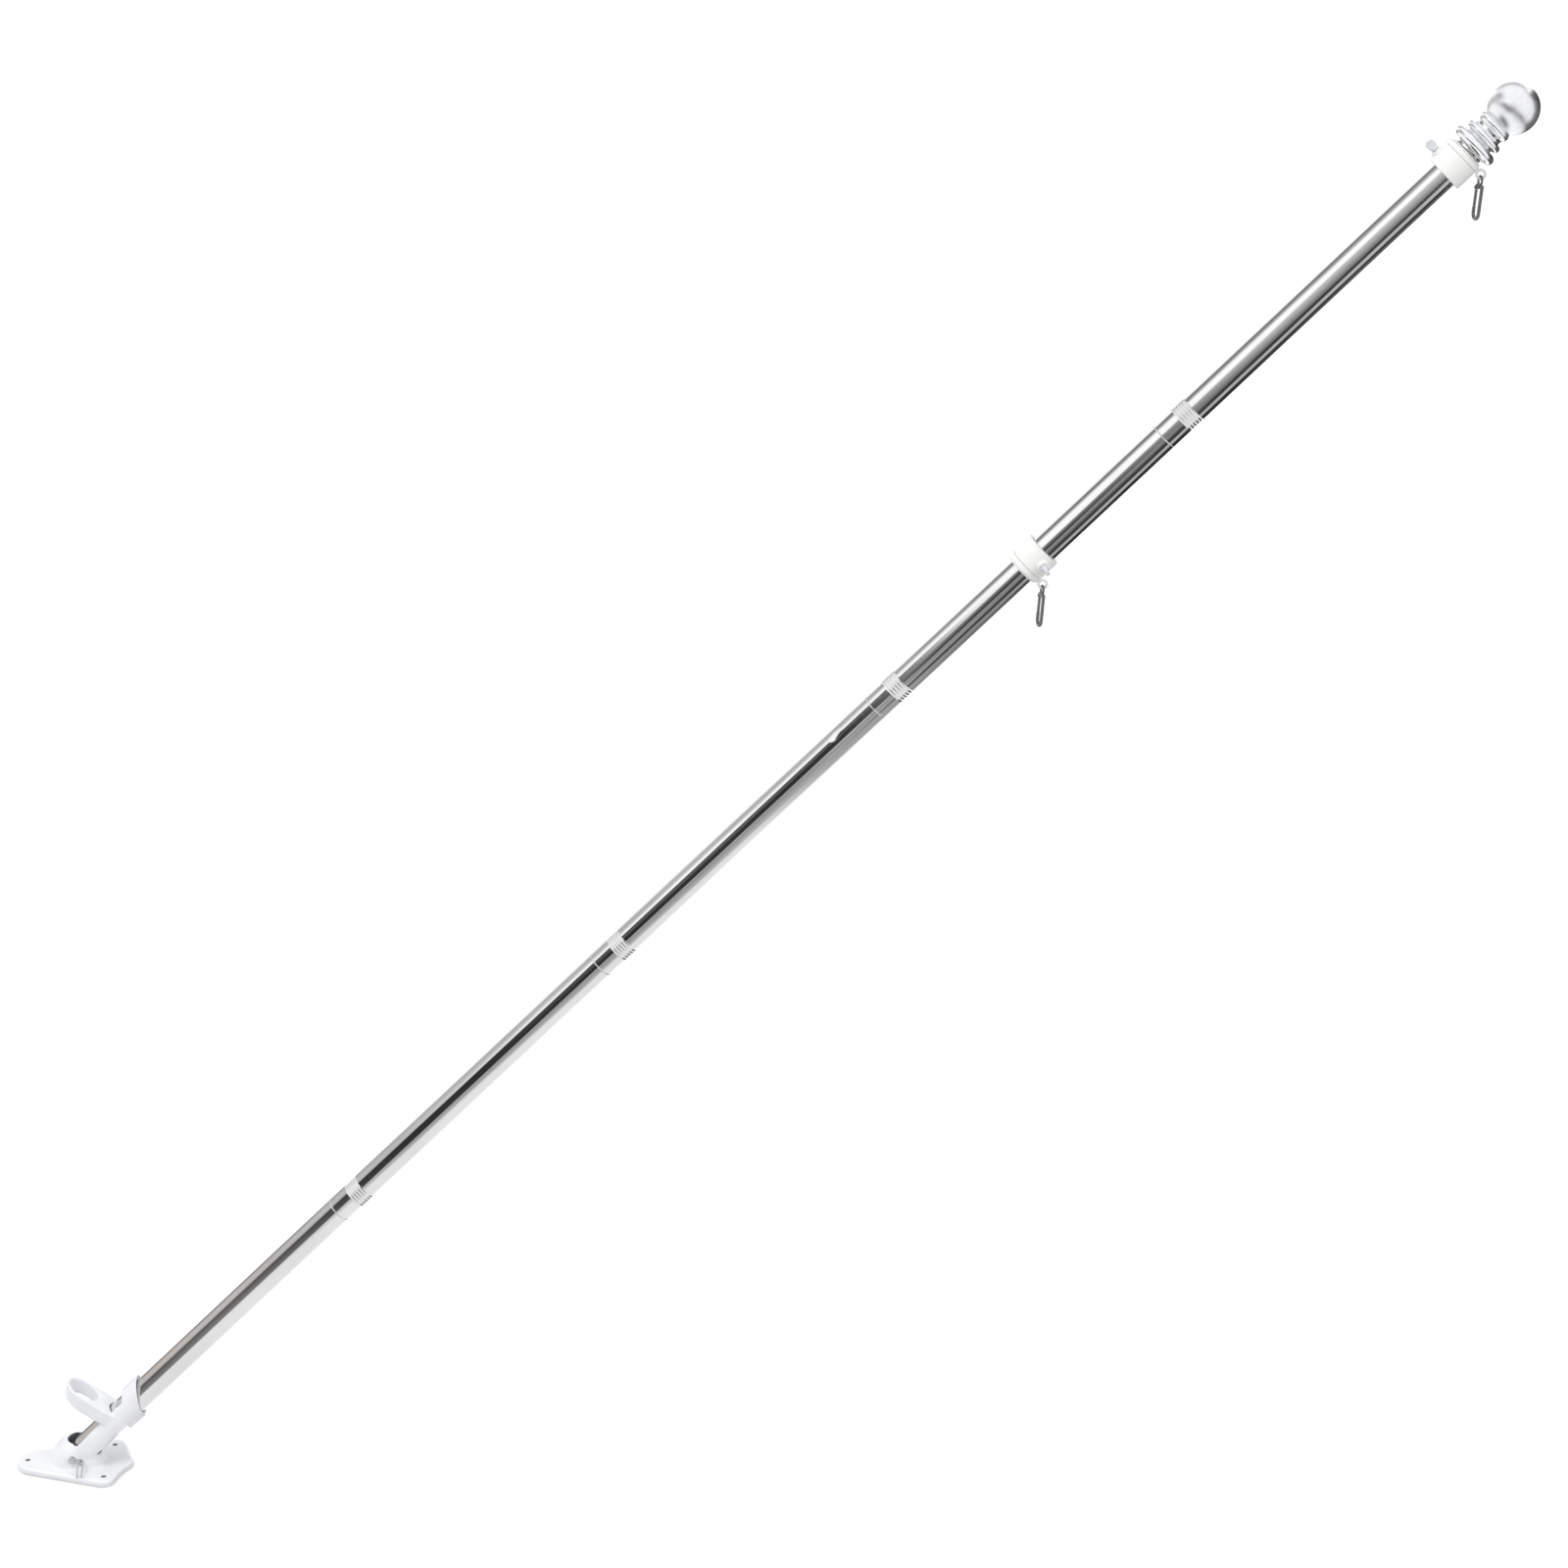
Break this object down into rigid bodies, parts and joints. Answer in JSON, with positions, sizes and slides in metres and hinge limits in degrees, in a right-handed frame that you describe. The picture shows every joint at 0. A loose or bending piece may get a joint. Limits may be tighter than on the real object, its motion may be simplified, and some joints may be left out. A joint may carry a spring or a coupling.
{
  "type": "house flagpole with wall bracket",
  "caption": "Sectional steel flagpole in a two-position mounting bracket, with ball finial, clamped flag collars, swivel rings and snap clips.",
  "frame": {"origin": "on the mounting plate's flat back face, under the point where the axes of the two sockets cross", "axes": "+Z out of the plate, +X the way the pole leans, +Y across the plate"},
  "size_m": [1.3675, 0.083, 1.3215],
  "materials": {
    "bracket": "gloss",
    "tube": "polished",
    "insert": "matte",
    "finial": "mirror",
    "collar": "satin",
    "wing": "gloss",
    "steel": "polished",
    "clip": "polished"
  },
  "bodies": {
    "pole": {"bracket_body": "bracket", "bracket_socket": "bracket", "lock_pin": "steel", "spring_clip": "steel", "tube_1": "tube", "tube_2": "tube", "tube_3": "tube", "tube_4": "tube", "tube_5": "tube", "insert_1": "insert", "insert_2": "insert", "insert_3": "insert", "insert_4": "insert", "finial": "finial", "finial_plug": "insert"},
    "lower_collar": {"collar_lower": "collar"},
    "lower_ring": {"swivel_lower": "collar"},
    "lower_screw": {"screw_lower": "steel", "wing_lower": "wing"},
    "lower_clip": {"clip_body_lower": "clip", "clip_rivet_lower": "clip"},
    "lower_gate": {"clip_gate_lower": "clip"},
    "upper_collar": {"collar_upper": "collar"},
    "upper_ring": {"swivel_upper": "collar"},
    "upper_screw": {"screw_upper": "steel", "wing_upper": "wing"},
    "upper_clip": {"clip_body_upper": "clip", "clip_rivet_upper": "clip"},
    "upper_gate": {"clip_gate_upper": "clip"}
  },
  "joints": [
    {"name": "lower_slide", "type": "slide", "parent": "pole", "child": "lower_collar", "axis": [0.7071, 0, 0.7071], "range_m": [-0.6, 0.25]},
    {"name": "lower_swivel", "type": "hinge", "parent": "lower_collar", "child": "lower_ring", "pos_m": [0.88431, 0, 0.89931], "axis": [0.7071, 0, 0.7071], "continuous": true},
    {"name": "lower_screw_turn", "type": "hinge", "parent": "lower_collar", "child": "lower_screw", "pos_m": [0.89209, 0, 0.90709], "axis": [0.2876, -0.9135, -0.2876], "continuous": true},
    {"name": "lower_clip_swing", "type": "hinge", "parent": "lower_ring", "child": "lower_clip", "pos_m": [0.89859, 0, 0.88135], "axis": [0, -1, 0], "range_deg": [-40, 90]},
    {"name": "lower_gate_open", "type": "hinge", "parent": "lower_clip", "child": "lower_gate", "pos_m": [0.89668, 0.00477, 0.86975], "axis": [-0.972, -0.225, 0.068], "range_deg": [0, 22], "stiffness_Nm_per_rad": 0.004, "springref_deg": -20.05},
    {"name": "upper_slide", "type": "slide", "parent": "pole", "child": "upper_collar", "axis": [0.7071, 0, 0.7071], "range_m": [-0.2, 0]},
    {"name": "upper_swivel", "type": "hinge", "parent": "upper_collar", "child": "upper_ring", "pos_m": [1.24246, 0, 1.25746], "axis": [0.7071, 0, 0.7071], "continuous": true},
    {"name": "upper_screw_turn", "type": "hinge", "parent": "upper_collar", "child": "upper_screw", "pos_m": [1.23468, 0, 1.24968], "axis": [-0.7071, 0, 0.7071], "continuous": true},
    {"name": "upper_clip_swing", "type": "hinge", "parent": "upper_ring", "child": "upper_clip", "pos_m": [1.26042, 0, 1.24317], "axis": [0, -1, 0], "range_deg": [-40, 90]},
    {"name": "upper_gate_open", "type": "hinge", "parent": "upper_clip", "child": "upper_gate", "pos_m": [1.2585, 0.00477, 1.23158], "axis": [-0.972, -0.225, 0.068], "range_deg": [0, 22], "stiffness_Nm_per_rad": 0.004, "springref_deg": -20.05}
  ]
}
